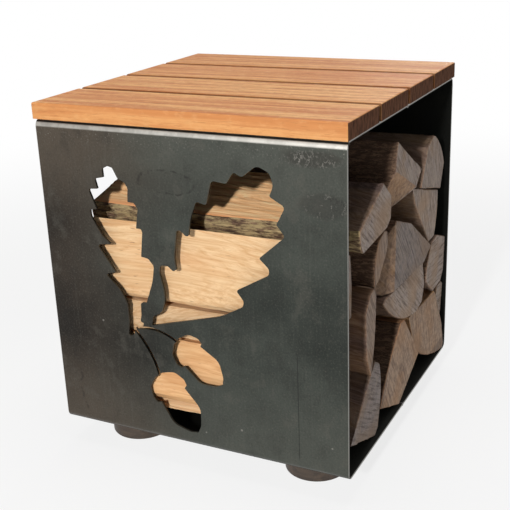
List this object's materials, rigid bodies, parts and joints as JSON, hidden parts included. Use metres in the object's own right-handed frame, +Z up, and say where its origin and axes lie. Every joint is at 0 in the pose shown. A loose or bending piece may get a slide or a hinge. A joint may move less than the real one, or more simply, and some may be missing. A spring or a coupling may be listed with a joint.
{
  "type": "log store bench",
  "caption": "Low bench over an open steel log bay: folded sheet body with a leaf and acorn cut-out, slatted wooden seat, turned wooden feet and a loose stack of split logs.",
  "frame": {"origin": "on the floor under the middle of the bench", "axes": "+Z up, -Y out of the front panel with the cut-out, +X to the right of someone facing that panel"},
  "size_m": [0.403, 0.403, 0.459],
  "materials": {
    "mild_steel": "bare dark rolled sheet with mill scale and stains",
    "screw_steel": "bright zinc",
    "seat_wood": "oiled planed hardwood",
    "foot_wood": "dark stained turned wood",
    "firewood": "rough split and sawn wood with bark"
  },
  "bodies": {
    "bench": {"front_shell": "mild_steel", "rear_shell": "mild_steel", "top_weld": "mild_steel", "bottom_weld": "mild_steel", "slat_screws": "screw_steel", "foot_screws": "screw_steel", "slat_1": "seat_wood", "slat_2": "seat_wood", "slat_3": "seat_wood", "slat_4": "seat_wood", "foot_front_left": "foot_wood", "foot_front_right": "foot_wood", "foot_back_left": "foot_wood", "foot_back_right": "foot_wood"},
    "log_01": {"log_01": "firewood"},
    "log_02": {"log_02": "firewood"},
    "log_03": {"log_03": "firewood"},
    "log_04": {"log_04": "firewood"},
    "log_05": {"log_05": "firewood"},
    "log_06": {"log_06": "firewood"},
    "log_07": {"log_07": "firewood"},
    "log_08": {"log_08": "firewood"},
    "log_09": {"log_09": "firewood"},
    "log_10": {"log_10": "firewood"},
    "log_11": {"log_11": "firewood"},
    "log_12": {"log_12": "firewood"},
    "log_13": {"log_13": "firewood"},
    "log_14": {"log_14": "firewood"},
    "log_15": {"log_15": "firewood"},
    "log_16": {"log_16": "firewood"},
    "log_17": {"log_17": "firewood"}
  },
  "joints": [
    {"name": "log_01_pull", "type": "slide", "parent": "bench", "child": "log_01", "axis": [1, 0, 0], "range_m": [0, 0.1915]},
    {"name": "log_02_pull", "type": "slide", "parent": "bench", "child": "log_02", "axis": [1, 0, 0], "range_m": [0, 0.3345]},
    {"name": "log_03_pull", "type": "slide", "parent": "bench", "child": "log_03", "axis": [1, 0, 0], "range_m": [0, 0.3285]},
    {"name": "log_04_pull", "type": "slide", "parent": "bench", "child": "log_04", "axis": [1, 0, 0], "range_m": [0, 0.3365]},
    {"name": "log_05_pull", "type": "slide", "parent": "bench", "child": "log_05", "axis": [1, 0, 0], "range_m": [0, 0.3245]},
    {"name": "log_06_pull", "type": "slide", "parent": "bench", "child": "log_06", "axis": [1, 0, 0], "range_m": [0, 0.3565]},
    {"name": "log_07_pull", "type": "slide", "parent": "bench", "child": "log_07", "axis": [1, 0, 0], "range_m": [0, 0.3325]},
    {"name": "log_08_pull", "type": "slide", "parent": "bench", "child": "log_08", "axis": [1, 0, 0], "range_m": [0, 0.3265]},
    {"name": "log_09_pull", "type": "slide", "parent": "bench", "child": "log_09", "axis": [1, 0, 0], "range_m": [0, 0.3405]},
    {"name": "log_10_pull", "type": "slide", "parent": "bench", "child": "log_10", "axis": [1, 0, 0], "range_m": [0, 0.3715]},
    {"name": "log_11_pull", "type": "slide", "parent": "bench", "child": "log_11", "axis": [1, 0, 0], "range_m": [0, 0.3365]},
    {"name": "log_12_pull", "type": "slide", "parent": "bench", "child": "log_12", "axis": [1, 0, 0], "range_m": [0, 0.3685]},
    {"name": "log_13_pull", "type": "slide", "parent": "bench", "child": "log_13", "axis": [1, 0, 0], "range_m": [0, 0.3245]},
    {"name": "log_14_pull", "type": "slide", "parent": "bench", "child": "log_14", "axis": [1, 0, 0], "range_m": [0, 0.3305]},
    {"name": "log_15_pull", "type": "slide", "parent": "bench", "child": "log_15", "axis": [1, 0, 0], "range_m": [0, 0.3395]},
    {"name": "log_16_pull", "type": "slide", "parent": "bench", "child": "log_16", "axis": [1, 0, 0], "range_m": [0, 0.3335]},
    {"name": "log_17_pull", "type": "slide", "parent": "bench", "child": "log_17", "axis": [1, 0, 0], "range_m": [0, 0.3725]}
  ]
}
